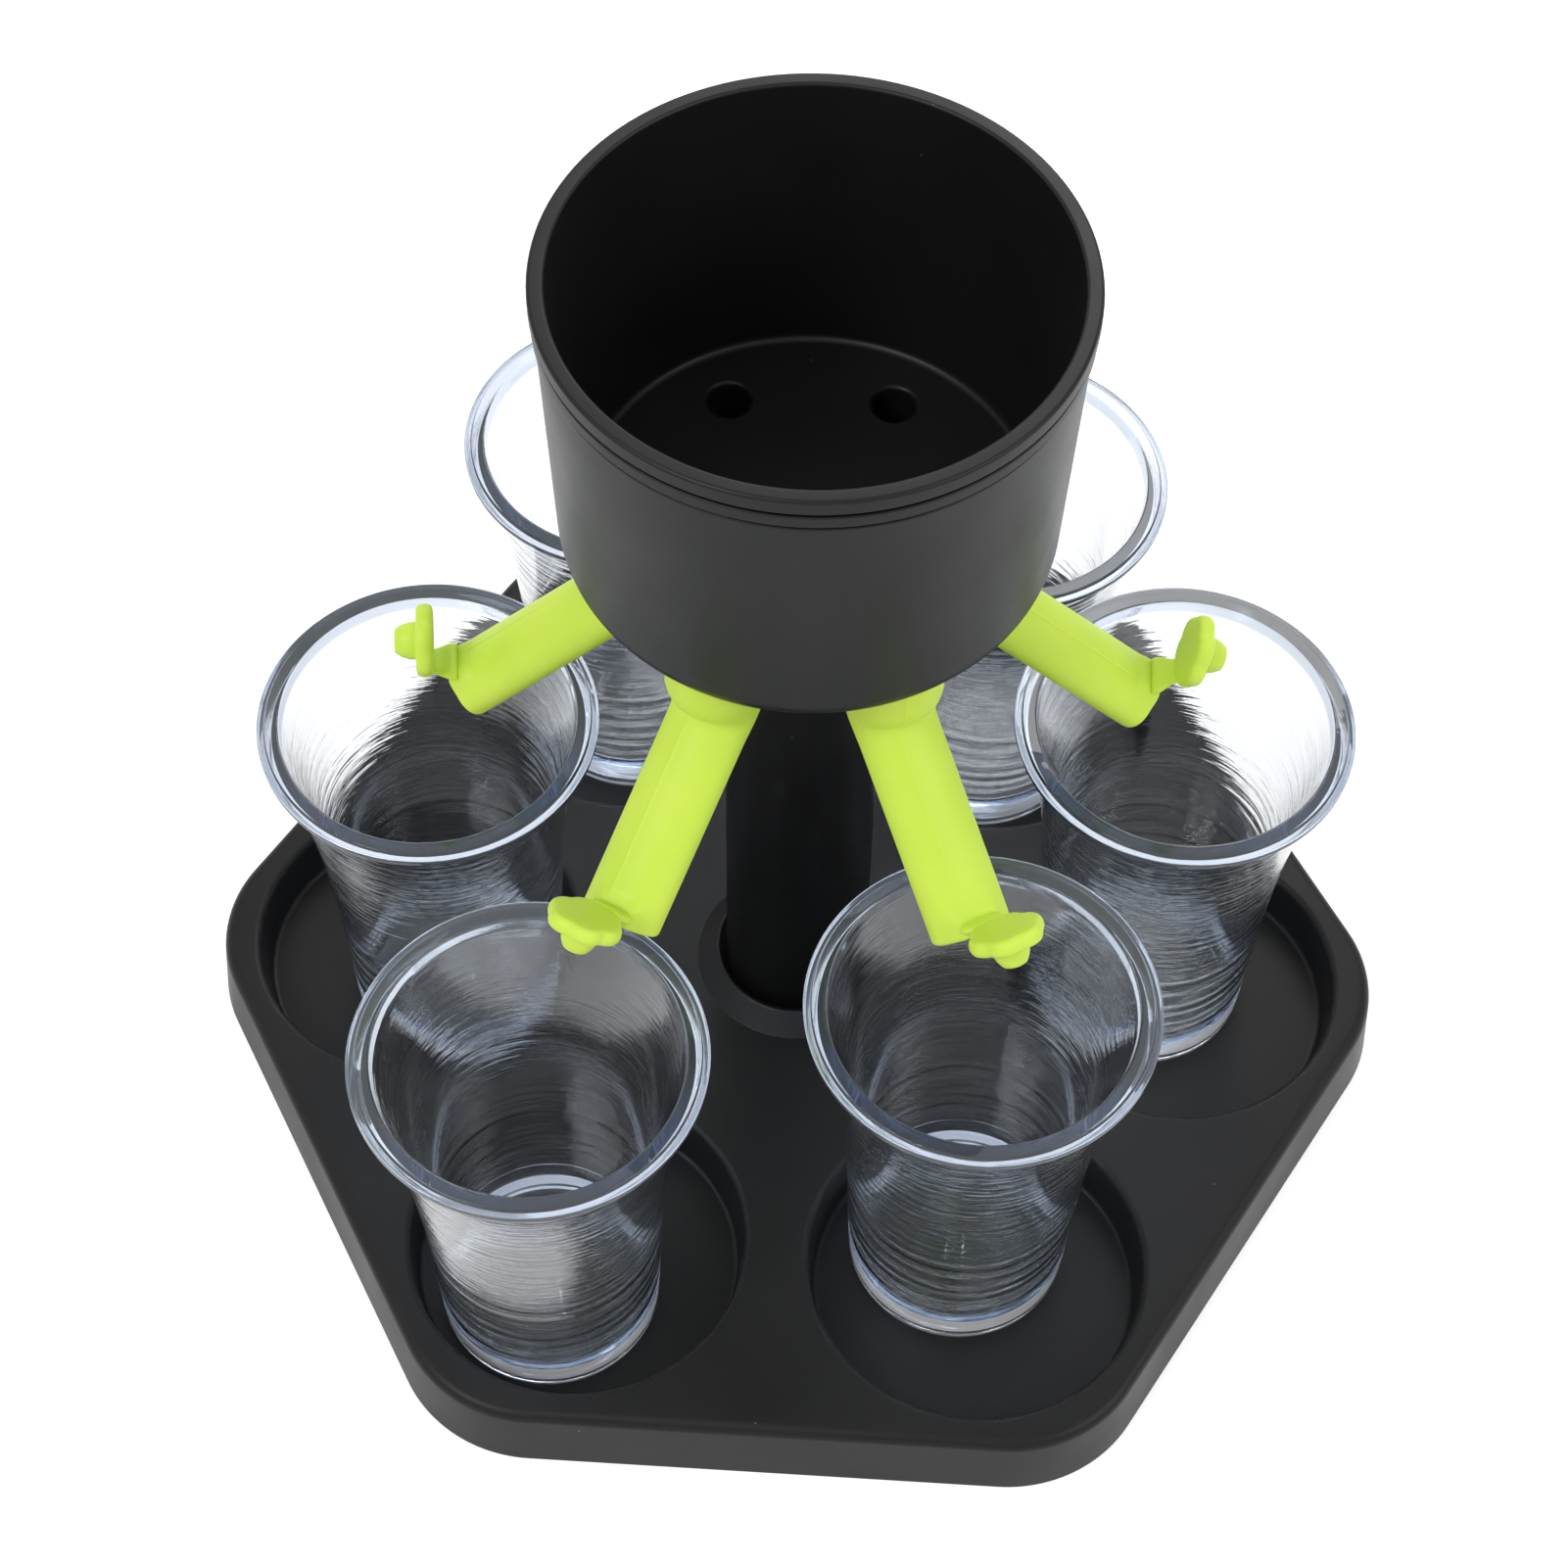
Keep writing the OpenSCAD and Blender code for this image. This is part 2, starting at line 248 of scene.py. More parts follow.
# Colours
TRAY_BLACK = 0.009, 0.009, 0.0092
POST_BLACK = 0.004, 0.004, 0.0042
BOWL_BLACK = 0.008, 0.0081, 0.0088
DUST = 0.25, 0.25, 0.26, 1
LIME_DEEP = 0.54, 0.74, 0.065, 1
LIME_PALE = 0.60, 0.78, 0.085, 1
CLEAR = 0.98, 0.985, 0.99, 1
RIM_TINT = 0.44, 0.5, 0.6, 1
CUP_TINT = 0.62, 0.74, 0.92, 1
CUP_SHADE = 0.86, 0.88, 0.9, 1
WHITE = 1, 1, 1, 1
FLOOR_GREY = 0.8, 0.8, 0.8, 1


# --- Frames, in millimetres ---


def turn(axis, degrees):
    return Matrix.Rotation(math.radians(degrees), 4, axis)


def shift(x, y, z):
    return Matrix.Translation((x, y, z))


def head_frame(i):
    return turn("Z", HEAD_TURN + STEP * i)


def spout_frame(i):
    """On the line of the spout's outlet, turned with the spout."""
    return head_frame(i) @ shift(OUTLET_R, 0, 0) @ turn("Z", SPOUT_TURN[i])


def mouth_frame(i):
    """X from the tube's axis to the strap, Z back up the tube."""
    return spout_frame(i) @ shift(MOUTH_R - OUTLET_R, 0, MOUTH_Z) @ turn("Y", -SPOUT_TILT)


def strap_frame(i):
    return mouth_frame(i) @ shift(FOLD_A, 0, FOLD_Z) @ turn("Y", LIP_BEND[i])


def plug_frame(i):
    folded = shift(STRAP_LEN, 0, 0) @ turn("Y", PLUG_BEND[i]) @ shift(-FOLD_B, 0, -FOLD_Z)
    return strap_frame(i) @ folded


def cup_frame(i):
    place = turn("Z", STEP * i) @ Vector((POCKET_RING_R, 0, 0))
    return shift(place.x + CUP_SHIFT_X[i], place.y + CUP_SHIFT_Y[i], POCKET_FLOOR)


# --- Meshes ---


class Shell:
    """The points and faces of one closed surface, in millimetres."""

    def __init__(self):
        self.points = []
        self.faces = []

    def ring(self, points):
        first = len(self.points)
        self.points += [Vector(p) for p in points]
        return list(range(first, len(self.points)))

    def bridge(self, a, b):
        n = len(a)
        self.faces += [(a[k], a[(k + 1) % n], b[(k + 1) % n], b[k]) for k in range(n)]

    def loft(self, rings):
        """A strip of faces over rows of points, and the indices of its first and last row."""
        rows = [self.ring(r) for r in rings]
        for a, b in zip(rows, rows[1:]):
            self.bridge(a, b)
        return rows[0], rows[-1]

    def fan(self, ring, centre):
        (tip,) = self.ring([centre])
        n = len(ring)
        self.faces += [(ring[k], ring[(k + 1) % n], tip) for k in range(n)]

    def plate(self, outer, holes):
        """Flat faces between an outer ring and the rings of its holes, all at one height."""
        index = outer + [k for hole in holes for k in hole]
        flat = [self.points[k].to_2d() for k in index]
        edges, first = [], 0
        for loop in [outer, *holes]:
            n = len(loop)
            edges += [(first + k, first + (k + 1) % n) for k in range(n)]
            first += n
        made = geometry.delaunay_2d_cdt(flat, edges, [], 0, 1e-5, True)
        corner = [index[sources[0]] for sources in made[3]]
        edge, *gaps = [[self.points[k] for k in loop] for loop in [outer, *holes]]
        for face in made[2]:
            middle = sum((made[0][k] for k in face), Vector((0, 0))) / 3
            if inside(middle, edge) and not any(inside(middle, gap) for gap in gaps):
                self.faces.append([corner[k] for k in face])


def inside(p, loop):
    odd = False
    for a, b in zip(loop, loop[1:] + loop[:1]):
        if (a.y > p.y) != (b.y > p.y) and p.x < a.x + (p.y - a.y) * (b.x - a.x) / (b.y - a.y):
            odd = not odd
    return odd


def circle(r, z, centre=(0, 0), sides=FINE):
    turns = [2 * math.pi * k / sides for k in range(sides)]
    return [(centre[0] + r * math.cos(t), centre[1] + r * math.sin(t), z) for t in turns]


def rounded(corners, steps=5):
    """An open outline of (r, z) points, from corners given as (r, z, radius of the round)."""
    out = [corners[0][:2]]
    for before, here, after in zip(corners, corners[1:], corners[2:]):
        p = Vector(here[:2])
        if not here[2]:
            out.append(tuple(p))
            continue
        u, v = (Vector(before[:2]) - p).normalized(), (Vector(after[:2]) - p).normalized()
        half = u.angle(v) / 2
        cut = here[2] / math.tan(half)
        middle = p + (u + v).normalized() * (here[2] / math.sin(half))
        start, end = p + u * cut - middle, p + v * cut - middle
        sweep = start.angle_signed(end)
        out += [tuple(middle + Matrix.Rotation(-sweep * k / steps, 2) @ start) for k in range(steps + 1)]
    return out + [corners[-1][:2]]


def lathe(shell, outline, centre=(0, 0), sides=FINE):
    """Rings about a vertical axis, joined in the outline's order; a point on the axis closes it."""
    rows = [shell.ring(circle(r, z, centre, sides)) for r, z in outline if r > 0]
    for a, b in zip(rows, rows[1:]):
        shell.bridge(a, b)
    if outline[0][0] <= 0:
        shell.fan(rows[0], (*centre, outline[0][1]))
    if outline[-1][0] <= 0:
        shell.fan(rows[-1], (*centre, outline[-1][1]))
    return rows[0], rows[-1]


def piece(name, shell, material, body, stands_for, place=Matrix.Identity(4), sharp=SHARP):
    """A finished piece: the shell at its place, shaded smooth but for edges over the sharp angle."""
    mesh = bpy.data.meshes.new(name)
    mesh.from_pydata([(place @ p) * MM for p in shell.points], [], shell.faces)
    work = bmesh.new()
    work.from_mesh(mesh)
    bmesh.ops.remove_doubles(work, verts=work.verts, dist=1e-7)
    bmesh.ops.recalc_face_normals(work, faces=work.faces)
    for face in work.faces:
        face.smooth = True
    for edge in work.edges:
        edge.smooth = edge.calc_face_angle(0) < math.radians(sharp)
    work.to_mesh(mesh)
    work.free()
    made = bpy.data.objects.new(name, mesh)
    bpy.context.scene.collection.objects.link(made)
    mesh.materials.append(material)
    normals = made.modifiers.new("flat faces stay flat", "WEIGHTED_NORMAL")
    normals.keep_sharp = True
    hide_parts(stands_for)
    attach(made, body)
    return made


# --- Materials ---


def material_tree(name):
    material = bpy.data.materials.new(name)
    material.use_nodes = True
    material.node_tree.nodes.clear()
    return material, material.node_tree


def add(tree, kind, inputs=None, **settings):
    """A new node, with its settings, and its inputs linked or set."""
    made = tree.nodes.new(kind)
    for key, value in settings.items():
        setattr(made, key, value)
    for key, value in (inputs or {}).items():
        if isinstance(value, bpy.types.NodeSocket):
            tree.links.new(value, made.inputs[key])
        else:
            made.inputs[key].default_value = value
    return made


def show(tree, surface, volume=None):
    out = add(tree, "ShaderNodeOutputMaterial", {"Surface": surface})
    if volume is not None:
        tree.links.new(volume, out.inputs["Volume"])


def noise(tree, place, scale, detail=2.0):
    return add(tree, "ShaderNodeTexNoise", {"Vector": place, "Scale": scale, "Detail": detail}).outputs["Fac"]


def remap(tree, value, lo, hi, to_lo, to_hi):
    limits = {"Value": value, "From Min": lo, "From Max": hi, "To Min": to_lo, "To Max": to_hi}
    return add(tree, "ShaderNodeMapRange", limits).outputs["Result"]


def blend_colours(tree, share, a, b):
    return add(tree, "ShaderNodeMix", {0: share, 6: a, 7: b}, data_type="RGBA").outputs[2]


def bump(tree, height, strength, distance):
    inputs = {"Height": height, "Strength": strength, "Distance": distance}
    return add(tree, "ShaderNodeBump", inputs).outputs["Normal"]


def combine(tree, kind, a, b):
    return add(tree, "ShaderNodeMath", {0: a, 1: b}, operation=kind).outputs[0]


def specks(tree, place, scale, radius):
    """1 in small round specks of dust, and 0 between them: one to a cell, and most cells bare."""
    cells = add(tree, "ShaderNodeTexVoronoi", {"Vector": place, "Scale": scale})
    near = remap(tree, cells.outputs["Distance"], radius * scale, radius * scale * 0.4, 0, 1)
    pick = add(tree, "ShaderNodeSeparateColor", {"Color": cells.outputs["Color"]}).outputs["Red"]
    some = remap(tree, pick, 0.72, 0.8, 0, 1)
    return combine(tree, "MULTIPLY", near, some)


def black_plastic(name, colour, gloss, level):
    """Moulded black plastic: a fine even grain, slow changes of gloss, and a little dust."""
    material, tree = material_tree(name)
    place = add(tree, "ShaderNodeTexCoord").outputs["Object"]
    cloud = noise(tree, place, 55, 3)
    dust = specks(tree, place, 150, 0.00016)
    darker, lighter = ([c * k for c in colour] + [1] for k in (0.85, 1.15))
    tone = blend_colours(tree, cloud, darker, lighter)
    grain = noise(tree, place, 2600)
    shader = add(
        tree,
        "ShaderNodeBsdfPrincipled",
        {
            "Base Color": blend_colours(tree, dust, tone, DUST),
            "Roughness": remap(tree, cloud, 0.3, 0.7, gloss - 0.05, gloss + 0.05),
            "Specular IOR Level": level,
            "Normal": bump(tree, grain, 0.25, 0.00003),
        },
    )
    show(tree, shader.outputs[0])
    return material


def lime_silicone():
    """Soft translucent silicone, with a dusty skin and a slightly uneven surface."""
    material, tree = material_tree("lime_silicone")
    place = add(tree, "ShaderNodeTexCoord").outputs["Object"]
    cloud = noise(tree, place, 70, 2)
    share = remap(tree, cloud, 0.3, 0.7, 0, 1)
    waves = noise(tree, place, 420, 3)
    shader = add(
        tree,
        "ShaderNodeBsdfPrincipled",
        {
            "Base Color": blend_colours(tree, share, LIME_DEEP, LIME_PALE),
            "Roughness": remap(tree, cloud, 0.3, 0.7, 0.42, 0.55),
            "Specular IOR Level": 0.35,
            "Subsurface Weight": 0.35,
            "Subsurface Radius": (0.9, 1.0, 0.25),
            "Subsurface Scale": 0.0015,
            "Normal": bump(tree, waves, 0.12, 0.00006),
        },
    )
    show(tree, shader.outputs[0])
    return material


def painted_foot_light(tree, height):
    """Painted light in a cup's foot at a height: milky bands, from its list of heights and shares, that stand
    in for light coming through the thick base.
    """
    top = CUP_FOOT_LIGHT_BANDS[-1][0]
    level = remap(tree, height, POCKET_FLOOR * MM, (POCKET_FLOOR + top) * MM, 0, 1)
    bands = add(tree, "ShaderNodeValToRGB", {0: level})
    stops = bands.color_ramp.elements
    while len(stops) < len(CUP_FOOT_LIGHT_BANDS):
        stops.new(0.5)
    for stop, (z, share) in zip(stops, CUP_FOOT_LIGHT_BANDS):
        stop.position = z / top
        stop.color = (share, share, share, 1)
    return bands.outputs[0]


def clear_plastic():
    """Clear moulded plastic: blue-grey at the rim, pale bands of painted light at the foot, fine rings
    between.
    """
    material, tree = material_tree("clear_plastic")
    coords = add(tree, "ShaderNodeTexCoord")
    place = coords.outputs["Object"]
    height = add(tree, "ShaderNodeSeparateXYZ", {0: place}).outputs["Z"]
    facing = add(tree, "ShaderNodeSeparateXYZ", {0: coords.outputs["Normal"]}).outputs["Z"]
    upright = add(tree, "ShaderNodeMath", {0: facing}, operation="ABSOLUTE").outputs[0]
    rings = add(tree, "ShaderNodeMapping", {"Vector": place, "Scale": (80, 80, 1000)}).outputs["Vector"]
    ripple = noise(tree, rings, 1, 3)

    rim_z = (POCKET_FLOOR + CUP_H - CUP_LIP_H) * MM
    rim = remap(tree, height, rim_z + CUP_TINT_FROM * MM, rim_z + CUP_TINT_TO * MM, 0, 1)
    # The foot's pale bands are painted light: milky plastic that stands in for light coming through the thick
    # base. Only faces turned sideways take it, not faces that point up or down.
    foot_light_on_sides = remap(tree, upright, 0.6, 0.3, 0, CUP_FOOT_PAINTED_LIGHT)
    foot = combine(tree, "MULTIPLY", painted_foot_light(tree, height), foot_light_on_sides)
    wall = remap(tree, ripple, 0.45, 0.75, CUP_WALL_MILK[0], CUP_WALL_MILK[1])
    rim_milk_and_foot_light = combine(tree, "MAXIMUM", combine(tree, "MULTIPLY", rim, CUP_RIM_MILK), foot)
    milk_and_foot_light = combine(tree, "MAXIMUM", rim_milk_and_foot_light, wall)
    shader = add(
        tree,
        "ShaderNodeBsdfPrincipled",
        {
            "Base Color": blend_colours(tree, rim, CLEAR, RIM_TINT),
            "Roughness": 0.02,
            "IOR": 1.5,
            "Transmission Weight": remap(tree, milk_and_foot_light, 0, 1, 1, 0),
            "Normal": bump(tree, ripple, 0.4, 0.00014),
        },
    )
    lamps = add(tree, "ShaderNodeBsdfTransparent", {"Color": CUP_SHADE})
    shadow = add(tree, "ShaderNodeLightPath").outputs["Is Shadow Ray"]
    glass = add(tree, "ShaderNodeMixShader", {0: shadow, 1: shader.outputs[0], 2: lamps.outputs[0]})
    tint = add(tree, "ShaderNodeVolumeAbsorption", {"Color": CUP_TINT, "Density": 42})
    show(tree, glass.outputs[0], tint.outputs[0])
    return material


# --- Pieces ---


def hexagon(corner_r, z, sides=TRAY_CORNER_SIDES):
    """The tray's rounded hexagon, with corners of this radius about their fixed centres."""
    points = []
    for i in range(COUNT):
        place = turn("Z", STEP * i) @ Vector((CORNER_RING_R, 0, 0))
        for k in range(sides + 1):
            t = math.radians(STEP * (i - 0.5 + k / sides))
            points.append((place.x + corner_r * math.cos(t), place.y + corner_r * math.sin(t), z))
    return points


def pocket_centre(i):
    place = turn("Z", STEP * i) @ Vector((POCKET_RING_R, 0, 0))
    return place.x, place.y


def tray_shell():
    shell = Shell()
    skirt_top = TRAY_CORNER_R - TRAY_DRAFT
    outline = rounded(
        [
            (TRAY_CORNER_R - TRAY_WALL, TRAY_H - TRAY_WALL, 0),
            (TRAY_CORNER_R - TRAY_WALL, 0, TRAY_FOOT_ROUND),
            (TRAY_CORNER_R, 0, TRAY_FOOT_ROUND),
            (skirt_top, TRAY_H, TRAY_EDGE_R),
            (skirt_top - TRAY_EDGE_R - LEAD, TRAY_H, 0),
        ]
    )
    under, top = shell.loft([hexagon(r, z) for r, z in outline[:-1]])
    pockets = []
    undersides = []
    for i in range(COUNT):
        lip = rounded(
            [
                (POCKET_R + POCKET_LIP + LEAD, TRAY_H, 0),
                (POCKET_R, TRAY_H, POCKET_LIP),
                (POCKET_FLOOR_R, POCKET_FLOOR, POCKET_FILLET),
                (0, POCKET_FLOOR, 0),
            ]
        )
        pockets.append(lathe(shell, lip[1:], pocket_centre(i))[0])
        well_z = POCKET_FLOOR - TRAY_WALL
        well = [(POCKET_UNDER_R, TRAY_H - TRAY_WALL), (POCKET_UNDER_R, well_z), (0, well_z)]
        undersides.append(lathe(shell, well, pocket_centre(i))[0])
    collar = rounded(
        [
            (COLLAR_R + LEAD, TRAY_H, 0),
            (COLLAR_R, TRAY_H, COLLAR_FOOT_ROUND),
            (COLLAR_TOP_R, TRAY_H + COLLAR_H, COLLAR_TOP_ROUND),
            (COLLAR_TOP_R - COLLAR_EDGE, TRAY_H + COLLAR_H - COLLAR_EDGE, 0),
            (SOCKET_R, TRAY_H + COLLAR_H - COLLAR_SINK, 0),
            (SOCKET_R, SOCKET_FLOOR, 0),
            (0, SOCKET_FLOOR, 0),
        ]
    )
    collar_foot = lathe(shell, collar[1:])[0]
    socket = [(SOCKET_UNDER_R, TRAY_H - TRAY_WALL), (SOCKET_UNDER_R, SOCKET_UNDER), (0, SOCKET_UNDER)]
    socket_foot = lathe(shell, socket)[0]
    shell.plate(top, [*pockets, collar_foot])
    shell.plate(under, [*undersides, socket_foot])
    return shell


def post_shell():
    shell = Shell()
    top = POST_TOP + SPIGOT_H
    lathe(
        shell,
        rounded(
            [
                (0, SOCKET_FLOOR, 0),
                (POST_R, SOCKET_FLOOR, POST_ROUND),
                (POST_R, POST_TOP, POST_ROUND),
                (SPIGOT_R, POST_TOP, 0),
                (SPIGOT_R, top, SPIGOT_ROUND),
                (0, top, 0),
            ]
        ),
    )
    return shell


def bowl_shell():
    shell = Shell()
    band = BOWL_TOP - BAND_H
    band_2 = band - GROOVE_H - BAND_2_H
    groove_r = RIM_R - GROOVE_DEPTH
    band_2_r = RIM_R - BAND_2_SET_BACK
    outline = rounded(
        [
            (BOWL_BASE_R - BOWL_CORNER - LEAD, BOWL_BOTTOM, 0),
            (BOWL_BASE_R, BOWL_BOTTOM, BOWL_CORNER),
            (BOWL_TOP_R, band_2 - GROOVE_H, BAND_ROUND),
            (groove_r, band_2 - GROOVE_H, GROOVE_ROUND),
            (groove_r, band_2, GROOVE_ROUND),
            (band_2_r, band_2, BAND_ROUND),
            (band_2_r, band - GROOVE_H, BAND_ROUND),
            (groove_r, band - GROOVE_H, GROOVE_ROUND),
            (groove_r, band, GROOVE_ROUND),
            (RIM_R, band, BAND_ROUND),
            (RIM_R, BOWL_TOP, RIM_ROUND),
            (RIM_R - RIM_WALL, BOWL_TOP, RIM_ROUND),
            (BOWL_BASE_R - BOWL_WALL, BOWL_FLOOR, FLOOR_FILLET),
            (BOWL_BASE_R - BOWL_WALL - LEAD, BOWL_FLOOR, 0),
        ]
    )
    under, floor = lathe(shell, outline[1:-1])
    outlets = [spout_frame(i).translation for i in range(COUNT)]
    holes = []
    nipples = []
    for place in outlets:
        outlet = rounded(
            [
                (HOLE_R + HOLE_BEVEL + LEAD, BOWL_FLOOR, 0),
                (HOLE_R, BOWL_FLOOR, HOLE_BEVEL),
                (HOLE_R, BOWL_BOTTOM - NIPPLE_H, 0),
                (NIPPLE_R, BOWL_BOTTOM - NIPPLE_H, 0),
                (NIPPLE_R, BOWL_BOTTOM, 0),
            ]
        )
        hole, nipple = lathe(shell, outlet[1:], (place.x, place.y), COARSE)
        holes.append(hole)
        nipples.append(nipple)
    boss = [
        (0, BOSS_BORE_TOP),
        (BOSS_BORE_R, BOSS_BORE_TOP),
        (BOSS_BORE_R, POST_TOP),
        (BOSS_R, POST_TOP),
        (BOSS_R, BOWL_BOTTOM),
    ]
    boss_foot = lathe(shell, boss)[1]
    shell.plate(floor, holes)
    shell.plate(under, [*nipples, boss_foot])
    return shell


def section_angles(sides=SPOUT_SIDES):
    """Even steps round the tube, and three more at each of its two moulding seams."""
    out = [360 * k / sides for k in range(sides)]
    for seam in (SEAM_ANGLE % 360, (SEAM_ANGLE + 180) % 360):
        out = [t for t in out if abs(t - seam) > 1.5 * SEAM_HALF_ANGLE]
        out += [seam - SEAM_HALF_ANGLE, seam, seam + SEAM_HALF_ANGLE]
    return sorted(out)


def spout_station(run, reach_a, reach_b, seam=0, lug=0, out=0):
    """An oval section of the spout, at a length along its centre line from the bowl's underside,
    moved outward from that line."""
    straight = BOWL_BOTTOM - BEND_Z
    bend = BEND_R * TILT
    if run < straight:
        x, z, t = 0, BOWL_BOTTOM - run, 0.0
    elif run < straight + bend:
        t = (run - straight) / BEND_R
        x = BEND_R * (1 - math.cos(t))
        z = BEND_Z - BEND_R * math.sin(t)
    else:
        t = TILT
        past = run - straight - bend
        x = BEND_R * (1 - math.cos(t)) + past * math.sin(t)
        z = BEND_Z - BEND_R * math.sin(t) - past * math.cos(t)
    points = []
    for angle in section_angles():
        p = math.radians(angle)
        on_seam = angle in (SEAM_ANGLE % 360, (SEAM_ANGLE + 180) % 360)
        v = reach_b * math.cos(p)
        w = reach_a * math.sin(p)
        if on_seam:
            v, w = v * (1 + seam / reach_b), w * (1 + seam / reach_a)
        if lug and v > 0:
            aside = 2 * abs(w) / STRAP_LIP_W
            v += (LUG_REACH - v) * lug * ease(LUG_SHOULDER - aside * LUG_FALL)
        v += out
        points.append((x + v * math.cos(t), w, z + v * math.sin(t)))
    return points


def ease(t):
    t = min(max(t, 0), 1)
    return t * t * (3 - 2 * t)


def spout_shell():
    shell = Shell()
    length = BOWL_BOTTOM - BEND_Z + BEND_R * TILT + TUBE_LEN
    straight = BOWL_BOTTOM - BEND_Z
    change = straight - SLEEVE_BLEND_FROM, straight + BEND_R * TILT + SLEEVE_BLEND_PAST
    lug_from = length - 2 * FOLD_Z - LUG_START
    rings = []
    lead_from, lip_from = lug_from - LUG_LEAD, length - LIP_ROUND
    runs = [lead_from * k / TUBE_ROWS for k in range(TUBE_ROWS + 1)]
    runs += [lead_from + (lip_from - lead_from) * k / LUG_ROWS for k in range(1, LUG_ROWS + 1)]
    for run in runs:
        share = ease((run - change[0]) / (change[1] - change[0]))
        a = SLEEVE_R + (TUBE_A - SLEEVE_R) * share
        b = SLEEVE_R + (TUBE_B - SLEEVE_R) * share
        lug = ease((run - lug_from) / LUG_RUN)
        rings.append(spout_station(run, a, b, SEAM_H, lug, SLEEVE_OUT * (1 - share)))
    for k in range(1, LIP_ROWS + 1):
        t = math.pi / 2 * k / LIP_ROWS
        back = LIP_ROUND * (1 - math.cos(t))
        run = lip_from + LIP_ROUND * math.sin(t)
        fade = math.cos(t)
        rings.append(spout_station(run, TUBE_A - back, TUBE_B - back, SEAM_H * fade, fade))
    rings.append(spout_station(length, BORE_R + BORE_LIP, BORE_R + BORE_LIP))
    bore_from = length - BORE_LIP
    for k in range(BORE_ROWS + 1):
        run = bore_from - (bore_from - NIPPLE_H) * k / BORE_ROWS
        rings.append(spout_station(run, BORE_R, BORE_R))
    rings.append(spout_station(NIPPLE_H, NIPPLE_R, NIPPLE_R))
    rings.append(spout_station(0, NIPPLE_R, NIPPLE_R))
    first, last = shell.loft(rings)
    shell.bridge(last, first)
    return shell


def strap_shell():
    """A short thin neck between two round ends, wide at the lip and narrow at the disc."""
    shell = Shell()
    rings = []
    for k in range(1, STRAP_ROWS):
        x = -BEAD_R + (STRAP_LEN + 2 * BEAD_R) * (1 - math.cos(math.pi * k / STRAP_ROWS)) / 2
        end = min(x, STRAP_LEN - x)
        round_end = math.sqrt(max(BEAD_R**2 - min(end, 0) ** 2, 0))
        waist = ease(end / (STRAP_LEN / 2))
        h = round_end + (WEB_H / 2 - BEAD_R) * waist if end > 0 else round_end
        w = (STRAP_LIP_W + (STRAP_DISC_W - STRAP_LIP_W) * ease(x / STRAP_LEN)) / 2
        section = []
        for j in range(STRAP_SIDES):
            p = 2 * math.pi * j / STRAP_SIDES
            c, s = math.cos(p), math.sin(p)
            y = math.copysign(abs(c) ** STRAP_POWER_Y, c) * w
            z = math.copysign(abs(s) ** STRAP_POWER_Z, s) * h
            section.append((x, y, z))
        rings.append(section)
    first, last = shell.loft(rings)
    shell.fan(first, (-BEAD_R, 0, 0))
    shell.fan(last, (STRAP_LEN + BEAD_R, 0, 0))
    return shell


def petal_edge(t):
    """Distance from the flower's centre to its edge, with the valleys between petals softened."""
    ring = DISC_R - PETAL_R
    step = 2 * math.pi / COUNT
    offset = (t - step / 2) % step
    reaches = []
    for d in (offset, step - offset):
        miss = PETAL_R**2 - (ring * math.sin(d)) ** 2
        reaches.append(ring * math.cos(d) + math.sqrt(max(miss, 0)))
    total = sum(math.exp(PETAL_SOFTNESS * r) for r in reaches)
    return math.log(total) / PETAL_SOFTNESS - PETAL_SET_BACK


def plug_shell():
    shell = Shell()
    stem = rounded(
        [
            (0, -STEM_H, 0),
            (STEM_TIP_R, -STEM_H, 0.5),
            (STEM_MID_R, -STEM_MID_H, 1.5),
            (STEM_R, -STEM_TOP_H, 1),
            (STEM_R, 0, 0.3),
            (STEM_R + LEAD, 0, 0),
        ]
    )
    rings = [circle(r, z, sides=DISC_SIDES) for r, z in stem[1:-1]]
    rows = [(DISC_UNDER_SHARE, 0, 0)]
    for k in range(DISC_ROWS + 1):
        t = math.pi * k / DISC_ROWS
        rows.append((1, DISC_PUFF * (1 - math.sin(t)), DISC_H / 2 - DISC_H / 2 * math.cos(t)))
    rows += [(share, 0, DISC_H) for share in DISC_TOP_SHARES]
    for share, back, z in rows:
        ring = []
        for k in range(DISC_SIDES):
            t = 2 * math.pi * k / DISC_SIDES
            r = petal_edge(t) * share - back
            x, y = r * math.cos(t), r * math.sin(t)
            tab = abs(y) < STRAP_DISC_W / 2 and x < 0 and share == 1
            if tab:
                x = -FLAT_X
            ring.append((max(x, -FLAT_X), y, z))
        rings.append(ring)
    first, last = shell.loft(rings)
    shell.fan(first, (0, 0, -STEM_H))
    shell.fan(last, (0, 0, DISC_H))
    return shell


def cup_wall_r(z):
    t = z / CUP_H
    return CUP_BASE_R + CUP_LEAN * t + CUP_FLARE * t**4


